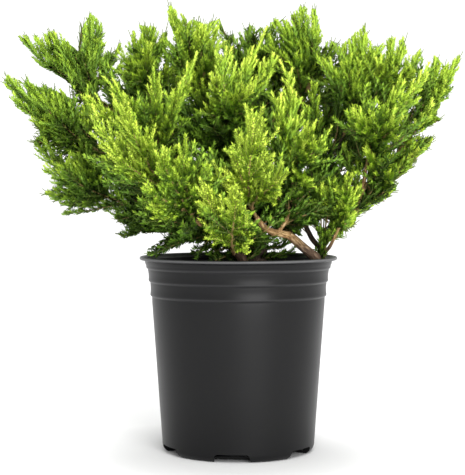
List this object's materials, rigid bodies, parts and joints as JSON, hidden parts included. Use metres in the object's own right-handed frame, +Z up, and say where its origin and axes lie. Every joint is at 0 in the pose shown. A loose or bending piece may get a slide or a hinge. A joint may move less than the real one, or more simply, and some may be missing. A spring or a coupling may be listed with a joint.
{
  "type": "potted spreading juniper",
  "caption": "Young spreading juniper with an open, fan-shaped crown of feathery lime and deep green sprays, standing in a plain black plastic nursery pot of potting mix.",
  "frame": {"origin": "centre of the flat underside of the pot, on the surface it stands on", "axes": "+Z up along the pot's axis, +X towards the crown's right-hand tips, -Y the front of the plant"},
  "size_m": [0.3881, 0.308, 0.376],
  "materials": {
    "pot_plastic": "moulded black plastic, satin",
    "potting_mix": "coarse composted bark chips",
    "bark": "thin flaking brown bark",
    "foliage_shade": "matte deep green scale needles",
    "foliage_light": "matte lime green young scale needles"
  },
  "bodies": {
    "root": {"back_left_high_bough": "bark", "back_left_high_mass": "foliage_shade", "back_left_low_bough": "bark", "back_left_low_mass": "foliage_shade", "back_middle_high_bough": "bark", "back_middle_high_mass": "foliage_shade", "back_middle_low_bough": "bark", "back_middle_low_mass": "foliage_shade", "back_right_high_bough": "bark", "back_right_high_mass": "foliage_shade", "back_right_low_bough": "bark", "back_right_low_mass": "foliage_shade", "back_stem": "bark", "centre_bough": "bark", "centre_mass": "foliage_shade", "front_left_bright_mass": "foliage_light", "front_left_high_bough": "bark", "front_left_high_mass": "foliage_light", "front_left_low_bough": "bark", "front_left_low_mass": "foliage_light", "front_low_bough": "bark", "front_low_mass": "foliage_light", "front_right_mass": "foliage_light", "front_right_side_bough": "bark", "front_right_side_mass": "foliage_light", "left_far_bough": "bark", "left_far_mass": "foliage_shade", "left_high_bough": "bark", "left_high_mass": "foliage_shade", "left_low_bough": "bark", "left_low_mass": "foliage_shade", "left_mid_bough": "bark", "left_mid_mass": "foliage_shade", "left_stem": "bark", "pot": "pot_plastic", "potting_mix": "potting_mix", "right_far_mass": "foliage_shade", "right_foot_bough": "bark", "right_foot_mass": "foliage_shade", "right_front_bough": "bark", "right_front_mass": "foliage_shade", "right_high_bough": "bark", "right_high_mass": "foliage_shade", "right_long_bough": "bark", "right_low_arm": "bark", "right_low_bough": "bark", "right_low_foot": "bark", "right_low_mass": "foliage_shade", "right_upright_stem": "bark", "top_back_mass": "foliage_shade", "top_left_bough": "bark", "top_left_mass": "foliage_shade", "top_peak_bough": "bark", "top_peak_mass": "foliage_shade", "top_right_bough": "bark", "top_right_mass": "foliage_shade", "top_tall_mass": "foliage_shade", "trunk": "bark"}
  },
  "joints": []
}
